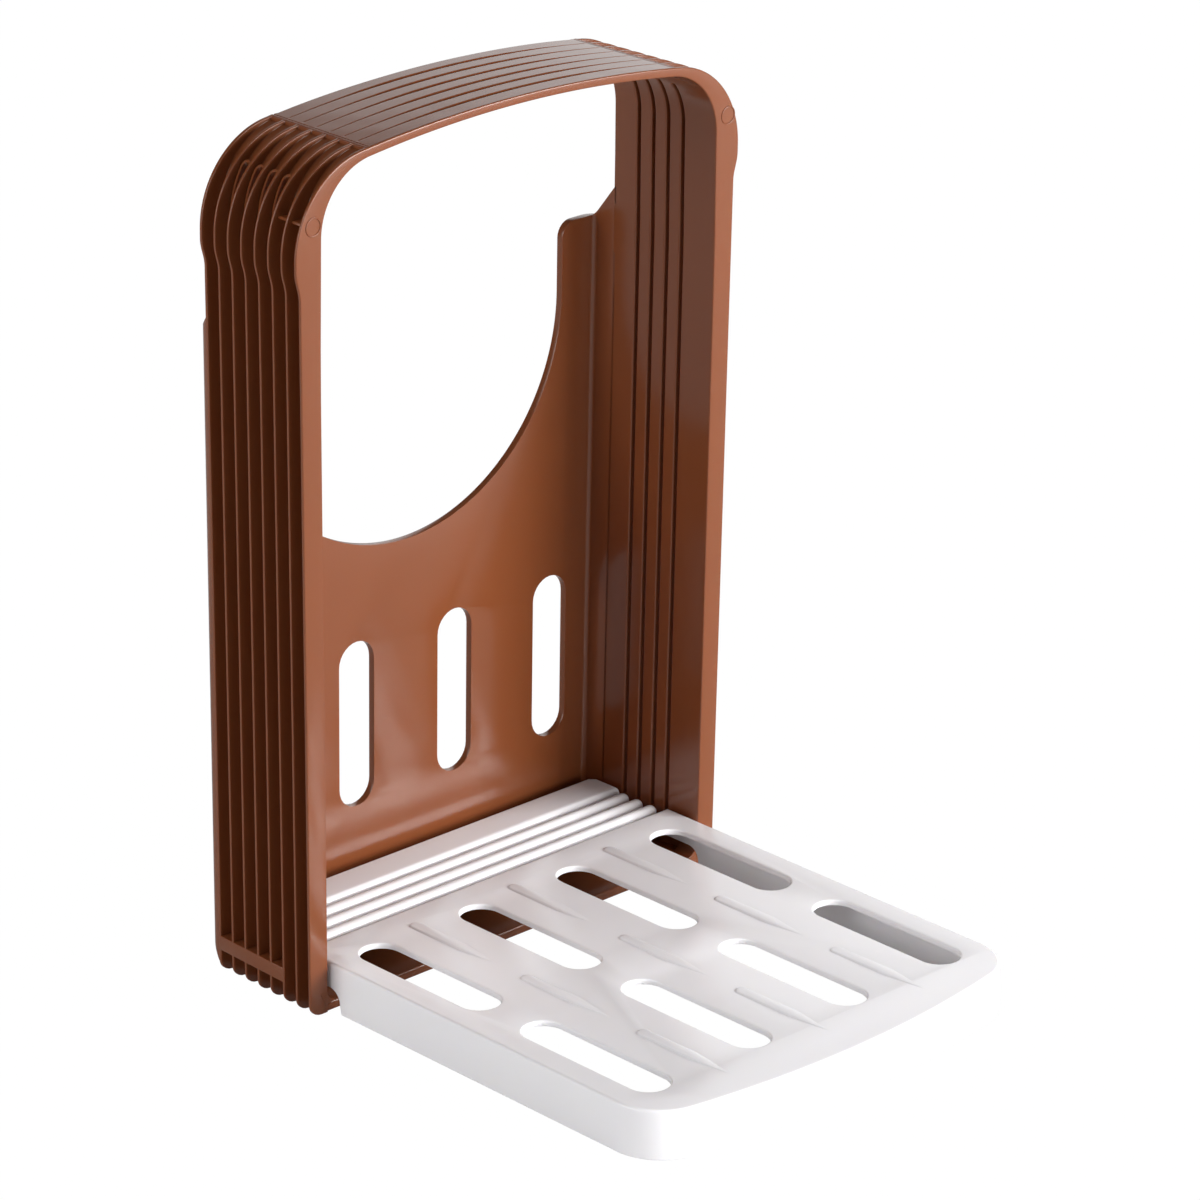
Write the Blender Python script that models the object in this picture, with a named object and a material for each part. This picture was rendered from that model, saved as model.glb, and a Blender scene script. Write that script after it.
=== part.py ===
"""Bread slicing guide: an arched frame with ribbed, slotted walls and a slotted base that folds up."""

import math

import bmesh
import bpy

# All sizes are in metres. A lean is the half width gained for each metre of height, and a draft is
# the half width lost for each metre of depth. X runs across the loaf, Y is the depth behind the
# front face of the frame, and Z is the height above the table.

# Room for the loaf inside the arch
inner_half_width = 0.0626
inner_lean = 0.006
inner_height = 0.2141
inner_crown_radius = 0.361
inner_corner_radius = 0.017
wall_draft = 0.012

# Skin of the arch and the ribs that stand out from it
skin_thickness = 0.0015
crown_thickness = 0.002
rib_depth = 0.0041
rib_lean = 0.0095
rib_draft = 0.023
rib_thickness = 0.001
rib_pitch = 0.0048
rib_count = 8
rib_foot_radius = 0.004
shoulder_bulge = 0.0011
shoulder_radius = 0.023
shoulder_straight = 0.0022
ogee_height = 0.007
outer_crown_radius = 0.3846
gap_run_in = 0.0005
crown_groove_width = 0.0008
crown_groove_depth = 0.00035
crown_groove_end_gap = 0.001

# Bars that join the ribs: a tie bar near the table and a web in each of the two front gaps
tie_bar_height = 0.0059
tie_bar_thickness = 0.0038
front_gap_count = 2
web_drop = 0.0182
web_thickness = 0.0008

# Rear wall and floor of the frame
panel_setback = 0.0068
panel_thickness = 0.0019
rear_wall_drop = 0.0439
panel_drop = 0.0086
rear_corner_radius = 0.0043
rear_foot_radius = 0.004
wall_fillet = 0.0012
floor_thickness = 0.0024
floor_setback = 0.0024
cutout_side_margin = 0.0104
cutout_straight_height = 0.018
cutout_lip_radius = 0.0042
panel_slot_width = 0.0115
panel_slot_height = 0.0264
panel_slot_length = 0.0441

# Knife slots: the first slice is counted from the front of the rear panel
thinnest_slice = 0.015
slice_step = 0.005
knife_slot_count = 4
knife_slot_width = 0.0012
knife_slot_height = 0.0109
knife_slot_drop = 0.0081

# Long slots stand in columns, the same on the panel and on the base
column_count = 4
column_side_margin = 0.0134

# Hinge between the frame and the base
hinge_setback = 0.0074
hinge_height = 0.0078
pin_radius = 0.0019
pin_clearance = 0.0003
pin_length = 0.003
lug_radius = 0.0034

# Base plate and its skirt
base_clearance = 0.0009
base_reach = 0.1155
base_front_radius = 0.2857
base_corner_radius = 0.0135
base_height = 0.0127
base_edge_radius = 0.0008
plate_thickness = 0.0014
skirt_thickness = 0.0018
notch_setback = 0.0038
notch_lean = 0.0006
notch_radius = 0.0037
skirt_lift = 0.0061

# Slots and low grip ribs on the base plate
base_slot_width = 0.0108
base_slot_rear = 0.0012
base_slot_front_margin = 0.0151
base_slot_row_gap = 0.0116
base_slot_rim = 0.0007
grip_rib_width = 0.0038
grip_rib_height = 0.0008
grip_rib_length = 0.0306
grip_rib_taper = 0.011
grip_rib_rear = 0.0032
grip_rib_front_margin = 0.0097
grip_rib_rows = 3

# Crests between the knife grooves, and the strip behind them
groove_width = 0.0015
groove_depth = 0.003
groove_web_thickness = 0.0017
strip_inset = 0.0004
strip_overhang = 0.0031
strip_chamfer = 0.0014
crest_inset = 0.0007

# How finely curves are divided, and how far cutters reach past what they cut
corner_steps = 12
crown_steps = 20
run_in_steps = 2
ogee_steps = 6
slot_steps = 8
pin_steps = 24
rounding_steps = 3
reach_past = 0.001
merge_distance = 0.000001

# Sizes that follow from those above
arch_depth = (rib_count - 1) * rib_pitch + rib_thickness
panel_front = arch_depth + panel_setback
frame_depth = panel_front + panel_thickness
crown_height = inner_height + crown_thickness
web_height = crown_height - web_drop
rib_half_width = inner_half_width + skin_thickness + rib_depth
rear_wall_height = crown_height - rear_wall_drop
panel_height = rear_wall_height - panel_drop
hinge_depth = panel_front - hinge_setback
knife_depths = [panel_front - thinnest_slice - i * slice_step for i in range(knife_slot_count)]
column_pitch = 2 * (inner_half_width - column_side_margin) / (column_count - 1)
columns = [(i - (column_count - 1) / 2) * column_pitch for i in range(column_count)]
base_half_width = inner_half_width - base_clearance
strip_half_width = base_half_width - strip_inset
strip_rear = hinge_depth + strip_overhang
crest_radius = (slice_step - groove_width) / 2
crest_axis_height = base_height - crest_radius
groove_floor = base_height - groove_depth
plate_lip = knife_depths[-1] - slice_step / 2
strip_lip = knife_depths[0] + slice_step / 2
centre_shift = (base_reach - frame_depth) / 2


def arc(centre, radius, start, end, steps):
    """Points along an arc, with both ends; angles in radians."""
    points = []
    for step in range(steps + 1):
        angle = start + (end - start) * step / steps
        points.append((centre[0] + radius * math.cos(angle), centre[1] + radius * math.sin(angle)))
    return points


def mirrored(half):
    """A closed outline from its right half, which starts low and ends on the middle line."""
    return half + [(-x, height) for x, height in reversed(half) if x > merge_distance]


def corner_centre(half_width, lean, height, crown, corner):
    """Centre of the corner arc that touches a leaning wall and a crown arc from inside."""
    crown_centre = height - crown
    inside = half_width - corner * math.hypot(1, lean)
    square = 1 + lean ** 2
    linear = inside * lean - crown_centre
    constant = inside ** 2 + crown_centre ** 2 - (crown - corner) ** 2
    rise = (math.sqrt(linear ** 2 - square * constant) - linear) / square
    return inside + lean * rise, rise


def arch_half(half_width, lean, height, crown, corner, foot, end_x=0.0, steps=crown_steps):
    """Right half of an arch outline: a leaning wall, a corner arc and part of a crown arc."""
    centre = corner_centre(half_width, lean, height, crown, corner)
    crown_centre = height - crown
    meeting = math.atan2(centre[1] - crown_centre, centre[0])
    points = [(half_width + lean * foot, foot)]
    points += arc(centre, corner, -math.atan(lean), meeting, corner_steps)
    points += arc((0, crown_centre), crown, meeting, math.acos(end_x / crown), steps)[1:]
    return points


def inner_half(inset, foot, end_x=0.0, steps=crown_steps):
    """The loaf room's outline, drawn in by an inset; a negative inset gives the outside of the skin."""
    return arch_half(
        inner_half_width - inset,
        inner_lean,
        inner_height - inset,
        inner_crown_radius - inset,
        inner_corner_radius - inset,
        foot,
        end_x,
        steps,
    )


def rib_half():
    """Right half of the ribs' outer edge: rounded foot, leaning wall, ogee, shoulder and crown."""
    crown_centre = crown_height - outer_crown_radius
    shoulder_x = rib_half_width + rib_lean * web_height + shoulder_bulge - shoulder_radius
    rise = math.sqrt((outer_crown_radius - shoulder_radius) ** 2 - shoulder_x ** 2)
    centre = (shoulder_x, crown_centre + rise)
    waist_height = centre[1] - shoulder_straight - ogee_height
    waist = rib_half_width + rib_lean * waist_height
    swell = shoulder_x + shoulder_radius - waist
    meeting = math.atan2(rise, shoulder_x)
    foot_centre = (rib_half_width - rib_foot_radius, rib_foot_radius)
    points = arc(foot_centre, rib_foot_radius, -math.pi / 2, 0, rounding_steps * 2)
    for step in range(ogee_steps):
        turn = step / ogee_steps
        points.append((waist + swell * (1 - math.cos(math.pi * turn)) / 2, waist_height + ogee_height * turn))
    points += arc(centre, shoulder_radius, 0, meeting, corner_steps)
    points += arc((0, crown_centre), outer_crown_radius, meeting, math.pi / 2, crown_steps)[1:]
    return points


def between(outline, low, high):
    """The stretch of a rising outline between two heights, cut square at both."""
    points = []
    for first, second in zip(outline, outline[1:]):
        for level in (low, high):
            if first[1] < level < second[1]:
                share = (level - first[1]) / (second[1] - first[1])
                points.append((first[0] + share * (second[0] - first[0]), level))
        if low <= second[1] <= high:
            points.append(second)
    if low <= outline[0][1] <= high:
        points.insert(0, outline[0])
    return points


def stadium(middle, low, high, radius):
    """A slot outline with round ends, from low to high along its second axis."""
    lower = arc((middle, low + radius), radius, math.pi, 2 * math.pi, slot_steps)
    upper = arc((middle, high - radius), radius, 0, math.pi, slot_steps)
    return lower + upper


def solid(name, meshes):
    """One object from closed ring stacks, each a list of rings with equal point counts."""
    sculpt = bmesh.new()
    for rings in meshes:
        loops = [[sculpt.verts.new(point) for point in ring] for ring in rings]
        for first, second in zip(loops, loops[1:]):
            for i in range(len(first)):
                j = (i + 1) % len(first)
                sculpt.faces.new((first[i], first[j], second[j], second[i]))
        sculpt.faces.new(loops[0])
        sculpt.faces.new(loops[-1])
    bmesh.ops.remove_doubles(sculpt, verts=sculpt.verts, dist=merge_distance)
    bmesh.ops.recalc_face_normals(sculpt, faces=sculpt.faces)
    mesh = bpy.data.meshes.new(name)
    sculpt.to_mesh(mesh)
    sculpt.free()
    item = bpy.data.objects.new(name, mesh)
    bpy.context.scene.collection.objects.link(item)
    return item


def along_x(outline, start, end):
    """Two rings of a Y-Z outline, for a prism along X."""
    return [[(place, y, z) for y, z in outline] for place in (start, end)]


def drawn_in(x, depth, draft):
    """Where a draft puts x at a depth: the sides draw in, and the middle stays."""
    return x - draft * depth * max(-1, min(1, x / inner_half_width))


def ring_at(outline, depth, draft=0.0):
    """An X-Z outline placed at a depth."""
    return [(drawn_in(x, depth, draft), depth, z) for x, z in outline]


def along_y(outline, start, end, draft=0.0):
    """Two rings of an X-Z outline, for a prism along Y that may narrow towards the rear."""
    return [ring_at(outline, depth, draft) for depth in (start, end)]


def along_z(outline, start, end):
    """Two rings of an X-Y outline, for a prism along Z."""
    return [[(x, y, place) for x, y in outline] for place in (start, end)]


def apply_boolean(body, tool, operation):
    """Cuts or joins a body with a tool, which is then removed."""
    modifier = body.modifiers.new(tool.name, "BOOLEAN")
    modifier.operation = operation
    modifier.solver = "EXACT"
    modifier.object = tool
    bpy.context.view_layer.update()
    view = bpy.context.evaluated_depsgraph_get()
    result = bpy.data.meshes.new_from_object(body.evaluated_get(view))
    body.modifiers.clear()
    body.data = result
    bpy.data.objects.remove(tool)


def cut(body, name, meshes):
    apply_boolean(body, solid(name, meshes), "DIFFERENCE")


def join(body, name, meshes):
    apply_boolean(body, solid(name, meshes), "UNION")


def gloss_plastic(name, colour, roughness):
    """A moulded plastic material; the colour is linear red, green and blue."""
    material = bpy.data.materials.new(name)
    material.use_nodes = True
    surface = material.node_tree.nodes["Principled BSDF"]
    surface.inputs["Base Color"].default_value = (*colour, 1)
    surface.inputs["Roughness"].default_value = roughness
    surface.inputs["Metallic"].default_value = 0
    material.diffuse_color = (*colour, 1)
    return material


def finish(body, origin, material):
    """Sets the object's origin, its place, its material and its shading."""
    for vertex in body.data.vertices:
        vertex.co.y -= origin[0]
        vertex.co.z -= origin[1]
    body.location = (0, origin[0] + centre_shift, origin[1])
    body.data.materials.clear()
    body.data.materials.append(material)
    body.data.shade_smooth()
    body.data.set_sharp_from_angle(angle=math.radians(30))


def rear_wall():
    """The rear of the frame before its top is cut: side walls, round corners and a rounded foot."""
    front = arch_depth - rib_thickness / 2
    side = inner_half_width + skin_thickness
    centre = (side - rear_corner_radius, frame_depth - rear_corner_radius)
    corner = [(side, front)] + arc(centre, rear_corner_radius, 0, math.pi / 2, corner_steps // 2)
    levels = []
    for step in range(rounding_steps + 1):
        turn = math.pi / 2 * step / rounding_steps
        levels.append((rear_foot_radius * (1 - math.cos(turn)), rear_foot_radius * (1 - math.sin(turn))))
    levels.append((rear_wall_height + reach_past, 0))
    stack = []
    for height, pulled in levels:
        half = []
        for x, y in corner:
            share = max(0, y - centre[1]) / rear_corner_radius
            half.append((drawn_in(x + inner_lean * height, y, wall_draft), y - pulled * share, height))
        stack.append(half + [(-x, y, z) for x, y, z in reversed(half)])
    return stack


def slanted_top():
    """What is cut off above the rear wall: the top slants down to the panel and is level over it."""
    front = arch_depth - rib_thickness
    behind = frame_depth + reach_past
    above = rear_wall_height + 2 * reach_past
    outline = [
        (front, rear_wall_height + rib_thickness * panel_drop / panel_setback),
        (panel_front, panel_height),
        (behind, panel_height),
        (behind, above),
        (front, above),
    ]
    return along_x(outline, -rib_half_width, rib_half_width)


def loaf_room():
    """The space inside the arch and above the floor, rounded where it meets the panel."""
    outline = mirrored(inner_half(0, floor_thickness))
    stack = along_y(outline, -reach_past, panel_front - wall_fillet, wall_draft)
    for step in range(1, rounding_steps + 1):
        turn = math.pi / 2 * step / rounding_steps
        inset = wall_fillet * (1 - math.cos(turn))
        depth = panel_front - wall_fillet * (1 - math.sin(turn))
        outline = mirrored(inner_half(inset, floor_thickness + inset))
        stack.append(ring_at(outline, depth, wall_draft))
    return stack


def rib_gaps():
    """What is cleared between the ribs on both sides, past the tie bars, webs and crown."""
    tangent = corner_centre(
        inner_half_width, inner_lean, inner_height, inner_crown_radius, inner_corner_radius
    )[0]
    gap_end = tangent * inner_crown_radius / (inner_crown_radius - inner_corner_radius) - gap_run_in
    skin = inner_half(-skin_thickness, -reach_past, gap_end, run_in_steps)
    far = rib_half_width + rib_depth + shoulder_bulge + rib_lean * crown_height
    above = crown_height + reach_past
    meshes = []
    for gap in range(rib_count - 1):
        front = gap * rib_pitch + rib_thickness
        rear = (gap + 1) * rib_pitch
        if gap < front_gap_count:
            bar = (web_height, web_height + web_thickness)
        else:
            bar = (tie_bar_height, tie_bar_height + tie_bar_thickness)
        lower = between(skin, -reach_past, bar[0])
        lower += [(far, bar[0]), (far, -reach_past)]
        upper = between(skin, bar[1], above)
        upper += [(gap_end, above), (far, above), (far, bar[1])]
        for outline in (lower, upper):
            meshes.append(along_y(outline, front, rear, wall_draft))
            meshes.append(along_y([(-x, z) for x, z in outline], front, rear, wall_draft))
    return meshes, gap_end


def crown_grooves(half_length):
    """Shallow lines across the top, one over each rib but the first and the last."""
    crown_centre = (0, crown_height - outer_crown_radius)
    start = math.acos(half_length / outer_crown_radius)
    lower = arc(crown_centre, outer_crown_radius - crown_groove_depth, start, math.pi - start, crown_steps)
    upper = arc(crown_centre, outer_crown_radius + reach_past, math.pi - start, start, crown_steps)
    meshes = []
    for rib in range(1, rib_count - 1):
        front = rib * rib_pitch + (rib_thickness - crown_groove_width) / 2
        meshes.append(along_y(lower + upper, front, front + crown_groove_width))
    return meshes


def panel_cutout():
    """The deep U in the panel's top edge, with rounded lips where it meets the edge."""
    radius = inner_half_width - cutout_side_margin
    centre_height = panel_height - cutout_straight_height
    lip = (radius + cutout_lip_radius, panel_height - cutout_lip_radius)
    above = rear_wall_height + reach_past
    half = arc((0, centre_height), radius, -math.pi / 2, 0, corner_steps * 2)
    half += arc(lip, cutout_lip_radius, math.pi, math.pi / 2, corner_steps // 2)
    half.append((radius + cutout_lip_radius, above))
    left = [(-x, z) for x, z in reversed(half[1:])]
    return along_y(half + left, panel_front - wall_fillet - reach_past, frame_depth + reach_past)


def wall_slots():
    """Through slots for the knife in both walls, each with a round top."""
    top = inner_height - knife_slot_drop
    half = knife_slot_width / 2
    inside = inner_half_width - inner_corner_radius
    outside = inner_half_width + skin_thickness + rib_depth
    meshes = []
    for depth in knife_depths:
        outline = [(depth - half, knife_slot_height), (depth + half, knife_slot_height)]
        outline += arc((depth, top - half), half, 0, math.pi, slot_steps)
        meshes.append(along_x(outline, inside, outside))
        meshes.append(along_x(outline, -inside, -outside))
    return meshes


def build_frame():
    frame = solid("guide_frame", [along_y(mirrored(rib_half()), 0, arch_depth, rib_draft)])
    gaps, gap_end = rib_gaps()
    cut(frame, "rib gaps", gaps)
    rear = solid("rear wall", [rear_wall()])
    cut(rear, "slanted top", [slanted_top()])
    apply_boolean(frame, rear, "UNION")
    cut(frame, "loaf room", [loaf_room()])
    doorway = [(-inner_half_width, -reach_past), (inner_half_width, -reach_past)]
    sill = floor_thickness + reach_past
    doorway += [(inner_half_width + inner_lean * sill, sill), (-inner_half_width - inner_lean * sill, sill)]
    cut(frame, "open front of the floor", [along_y(doorway, -reach_past, floor_setback, wall_draft)])
    cut(frame, "crown grooves", crown_grooves(gap_end - crown_groove_end_gap))
    cut(frame, "panel cut-out", [panel_cutout()])
    slot_top = panel_slot_height + panel_slot_length
    slots = [stadium(x, panel_slot_height, slot_top, panel_slot_width / 2) for x in columns]
    behind = frame_depth + reach_past
    cut(frame, "panel slots", [along_y(slot, panel_front - reach_past, behind) for slot in slots])
    cut(frame, "knife slots", wall_slots())
    wall = drawn_in(inner_half_width + inner_lean * hinge_height, hinge_depth, wall_draft)
    pin = arc((hinge_depth, hinge_height), pin_radius, 0, 2 * math.pi, pin_steps)[:-1]
    root = wall + skin_thickness / 2
    tip = wall - pin_length
    join(frame, "hinge pins", [along_x(pin, root, tip), along_x(pin, -root, -tip)])
    finish(frame, (0, 0), gloss_plastic("brown gloss plastic", (0.155, 0.043, 0.017), 0.28))
    return frame


def base_half(inset, rear):
    """Right half of the base's outline seen from above, from the rear forward, drawn in by an inset."""
    front = arch_half(
        base_half_width - inset,
        0,
        base_reach - inset,
        base_front_radius - inset,
        base_corner_radius - inset,
        -rear,
    )
    return [(x, -depth) for x, depth in front]


def base_shell():
    """The base's outside: straight sides, bowed front, round corners and a softened top edge."""
    profile = [(0, 0), (0, base_height - base_edge_radius)]
    for step in range(1, rounding_steps + 1):
        turn = math.pi / 2 * step / rounding_steps
        inset = base_edge_radius * (1 - math.cos(turn))
        profile.append((inset, base_height - base_edge_radius * (1 - math.sin(turn))))
    stack = []
    for inset, height in profile:
        plate_rear = plate_lip + crest_radius
        side = strip_half_width - inset
        rear = strip_rear - inset
        half = [(side - strip_chamfer, rear), (side, rear - strip_chamfer), (side, plate_rear)]
        half += base_half(inset, plate_rear)
        stack.append([(x, y, height) for x, y in mirrored(half)])
    return stack


def skirt_notch():
    """Lifts the skirt where it runs inside the frame, with a quarter-round step at the front."""
    centre = (notch_radius + notch_lean - notch_setback, skirt_lift - notch_radius)
    outline = [(-notch_setback, -reach_past), (-notch_setback, 0)]
    outline += arc(centre, notch_radius, math.pi, math.pi / 2, corner_steps // 2)
    outline += [(strip_rear + reach_past, skirt_lift), (strip_rear + reach_past, -reach_past)]
    return along_x(outline, -base_half_width - reach_past, base_half_width + reach_past)


def front_hollow():
    """The hollow under the plate, as far back as the knife grooves."""
    half = base_half(skirt_thickness, plate_lip)
    return along_z(mirrored(half), -reach_past, base_height - plate_thickness)


def rear_hollow():
    """The hollow under the grooves and the strip; it is shallower below the grooves."""
    groove_ceiling = groove_floor - groove_web_thickness
    ceiling = base_height - plate_thickness
    rear = strip_rear - skirt_thickness
    outline = [
        (plate_lip - reach_past, -reach_past),
        (plate_lip - reach_past, groove_ceiling),
        (strip_lip, groove_ceiling),
        (strip_lip, ceiling),
        (rear, ceiling),
        (rear, -reach_past),
    ]
    side = strip_half_width - skirt_thickness
    return along_x(outline, -side, side)


def groove_channel():
    """Clears the room in which the crests stand, leaving a round lip on the plate and on the strip."""
    above = base_height + reach_past
    outline = [(plate_lip, above)]
    outline += arc((plate_lip, crest_axis_height), crest_radius, math.pi / 2, 0, corner_steps // 2)
    outline += [(plate_lip + crest_radius, groove_floor), (strip_lip - crest_radius, groove_floor)]
    outline += arc((strip_lip, crest_axis_height), crest_radius, math.pi, math.pi / 2, corner_steps // 2)
    outline += [(strip_lip, above)]
    return along_x(outline, -base_half_width - reach_past, base_half_width + reach_past)


def crest(depth):
    """A rounded bar across the base between two knife grooves, with domed ends."""
    end = strip_half_width + strip_inset - crest_inset
    profile = [(1, groove_floor - groove_web_thickness / 2), (1, crest_axis_height)]
    for step in range(1, corner_steps // 2 + 1):
        turn = math.pi / 2 * step / (corner_steps // 2)
        profile.append((math.cos(turn), crest_axis_height + crest_radius * math.sin(turn)))
    stack = []
    for share, height in profile:
        inset = crest_radius * (1 - share)
        outline = stadium(depth, inset - end, end - inset, crest_radius * share)
        stack.append([(x, y, height) for y, x in outline])
    return stack


def base_slots():
    """Two rows of long slots through the plate, with a softened rim."""
    length = (base_reach - base_slot_front_margin + base_slot_rear - base_slot_row_gap) / 2
    profile = [(0, base_height / 2), (0, base_height - base_slot_rim)]
    for step in range(1, rounding_steps + 1):
        turn = math.pi / 2 * step / rounding_steps
        flare = base_slot_rim * (1 - math.cos(turn))
        profile.append((flare, base_height - base_slot_rim * (1 - math.sin(turn))))
    profile.append((base_slot_rim, base_height + reach_past))
    meshes = []
    for row in range(2):
        rear = base_slot_rear - row * (length + base_slot_row_gap)
        for x in columns:
            stack = []
            for flare, height in profile:
                radius = base_slot_width / 2 + flare
                outline = stadium(x, rear - length - flare, rear + flare, radius)
                stack.append([(across, depth, height) for across, depth in outline])
            meshes.append(stack)
    return meshes


def grip_rib(x, rear):
    """A low rib with a round rear end; its top ramps down to a point at the front."""
    radius = grip_rib_width / 2
    front = rear - grip_rib_length
    outline = [(0, front), (radius, front + grip_rib_taper)]
    outline += arc((0, rear - radius), radius, 0, math.pi, slot_steps)
    outline += [(-radius, front + grip_rib_taper)]
    shoulder = 1 - grip_rib_height / grip_rib_width
    bottom = []
    edge = []
    top = []
    for across, depth in outline:
        climb = grip_rib_height * (depth - front) / grip_rib_length
        bottom.append((x + across, depth, base_height - grip_rib_height))
        edge.append((x + across, depth, base_height))
        pulled = rear - radius + (depth - rear + radius) * shoulder if depth > rear - radius else depth
        top.append((x + across * shoulder, pulled, base_height + climb))
    return [bottom, edge, top]


def grip_ribs():
    """The low ribs stand in rows, between the columns of slots."""
    travel = base_reach - grip_rib_front_margin + grip_rib_rear - grip_rib_length
    pitch = travel / (grip_rib_rows - 1)
    meshes = []
    for row in range(grip_rib_rows):
        for first, second in zip(columns, columns[1:]):
            meshes.append(grip_rib((first + second) / 2, grip_rib_rear - row * pitch))
    return meshes


def build_base():
    base = solid("bread_base", [base_shell()])
    cut(base, "skirt notch", [skirt_notch()])
    cut(base, "front hollow", [front_hollow()])
    cut(base, "rear hollow", [rear_hollow()])
    cut(base, "groove channel", [groove_channel()])
    cut(base, "base slots", base_slots())
    join(base, "crests", [crest(depth - slice_step / 2) for depth in knife_depths[:-1]])
    join(base, "grip ribs", grip_ribs())
    axis = (hinge_depth, hinge_height)
    lug = arc(axis, lug_radius, 0, 2 * math.pi, pin_steps)[:-1]
    inside = strip_half_width - skirt_thickness
    join(base, "hinge lugs", [along_x(lug, side * inside, side * strip_half_width) for side in (-1, 1)])
    bore = arc(axis, pin_radius + pin_clearance, 0, 2 * math.pi, pin_steps)[:-1]
    near = inside - reach_past
    far = strip_half_width + reach_past
    cut(base, "hinge bores", [along_x(bore, side * near, side * far) for side in (-1, 1)])
    finish(base, axis, gloss_plastic("white gloss plastic", (0.76, 0.74, 0.72), 0.3))
    return base


for leftover in list(bpy.data.objects):
    bpy.data.objects.remove(leftover)

build_frame()
build_base()
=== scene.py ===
import math

import bmesh
import bpy
from mathutils import Matrix, Vector


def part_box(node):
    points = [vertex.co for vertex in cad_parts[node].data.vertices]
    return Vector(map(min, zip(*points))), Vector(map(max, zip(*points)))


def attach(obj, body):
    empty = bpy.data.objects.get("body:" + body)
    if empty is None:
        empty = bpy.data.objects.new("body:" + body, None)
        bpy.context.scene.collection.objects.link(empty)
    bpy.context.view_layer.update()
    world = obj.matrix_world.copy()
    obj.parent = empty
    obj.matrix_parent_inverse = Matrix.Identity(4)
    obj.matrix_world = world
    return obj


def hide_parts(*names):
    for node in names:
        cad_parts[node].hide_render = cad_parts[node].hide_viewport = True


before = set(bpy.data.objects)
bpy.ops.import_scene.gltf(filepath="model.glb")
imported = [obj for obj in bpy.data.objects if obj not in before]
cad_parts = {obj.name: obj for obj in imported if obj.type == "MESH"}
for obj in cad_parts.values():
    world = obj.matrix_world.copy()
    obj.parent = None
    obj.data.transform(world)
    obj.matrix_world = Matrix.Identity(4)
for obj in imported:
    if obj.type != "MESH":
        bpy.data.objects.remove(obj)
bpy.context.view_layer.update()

# The arch of the guide frame.
# It is one brown polypropylene moulding: a thin skin bent over the loaf, with eight thin ribs round it that
# run out at a witness line on the crown, and slots for the knife between the ribs.

mm = 0.001
weld_distance = 0.001 * mm
frame_low, frame_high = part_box("guide_frame")
front_face = frame_low[1]

inner_half_width = 62.6 * mm
inner_lean = 0.0072
knee_height = 163 * mm
upper_lean = -0.0103
inner_height = 214.1 * mm
inner_crown_radius = 361 * mm
inner_corner_radius = 17 * mm
wall_draft = 0.012
skin_thickness = 1.5 * mm
rib_half_width = 68.2 * mm
rib_lean = 0.0095
rib_draft = 0.023
rib_thickness = 1.0 * mm
rib_taper = 0.2 * mm
taper_height = 5 * mm
rib_pitch = 4.8 * mm
rib_count = 8
rib_foot_radius = 3.2 * mm
rib_edge_radius = 0.2 * mm
rib_root_radius = 0.15 * mm
rib_root_run = 2.5 * rib_root_radius
shoulder_half_width = 71.2 * mm
shoulder_radius = 23 * mm
shoulder_straight = 2.2 * mm
ogee_height = 7 * mm
outer_crown_radius = 384.6 * mm
crown_height = frame_high[2]
gap_end = (49.6 * mm, 49.9 * mm)
witness_places = (48.5 * mm, 49.3 * mm)
witness_half_width = 0.16 * mm
witness_margin = 1.1
witness_depth = 0.3 * mm
crown_groove_depth = 1.0 * mm
crown_groove_wall = 0.05 * mm
crown_groove_fade = (12 * mm, 45 * mm)
crown_groove_thinning = 0.7
crown_groove_end = (46.2 * mm, 48 * mm)
front_edge_radius = 0.35 * mm
rear_edge_fade = 2 * mm
arch_depth = (rib_count - 1) * rib_pitch + rib_thickness
panel_setback = 6.8 * mm
panel_depth = arch_depth + panel_setback
rear_wall_drop = 43.9 * mm
rear_wall_height = crown_height - rear_wall_drop
slice_depths = (15 * mm, 20 * mm, 25 * mm, 30 * mm)
knife_depths = [panel_depth - depth for depth in slice_depths]
knife_slot_width = 1.2 * mm
knife_slot_foot = 10.9 * mm
knife_slot_drop = 9.3 * mm
knife_slot_top = inner_height - knife_slot_drop
knife_slot_levels = (knife_slot_foot, 60 * mm, 110 * mm, knee_height, 180 * mm, 190 * mm)
knife_slot_lip = 0.4 * mm
cutter_inside = 1 * mm
cutter_outside = 5 * mm
section_wall_start = 4 * mm
section_angle_margin = 0.0002


def arc(centre, radius, start, end, steps):
    """Points along an arc, with both ends; angles in radians."""
    points = []
    for step in range(steps + 1):
        angle = start + (end - start) * step / steps
        points.append((centre[0] + radius * math.cos(angle), centre[1] + radius * math.sin(angle)))
    return points


def quarter(steps):
    """Pairs of sine and cosine over a quarter turn, for a rounded edge."""
    turns = [math.pi / 2 * step / steps for step in range(steps + 1)]
    return [(math.sin(turn), math.cos(turn)) for turn in turns]


def corner_centre(half_width, lean, height, crown, corner):
    """Centre of the corner arc that touches a leaning wall and a crown arc from inside."""
    crown_centre = height - crown
    inside = half_width - corner * math.hypot(1, lean)
    square = 1 + lean ** 2
    linear = inside * lean - crown_centre
    constant = inside ** 2 + crown_centre ** 2 - (crown - corner) ** 2
    rise = (math.sqrt(linear ** 2 - square * constant) - linear) / square
    return inside + lean * rise, rise


def far_side(origin, angle, centre, radius):
    """Distance from a point to the far side of a circle, in the direction of an angle."""
    across = origin[0] - centre[0]
    up = origin[1] - centre[1]
    along = across * math.cos(angle) + up * math.sin(angle)
    return math.sqrt(along ** 2 - across ** 2 - up ** 2 + radius ** 2) - along


def point_at(origin, angle, distance):
    """The point at a distance from an origin, in the direction of an angle."""
    return origin[0] + distance * math.cos(angle), origin[1] + distance * math.sin(angle)


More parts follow.
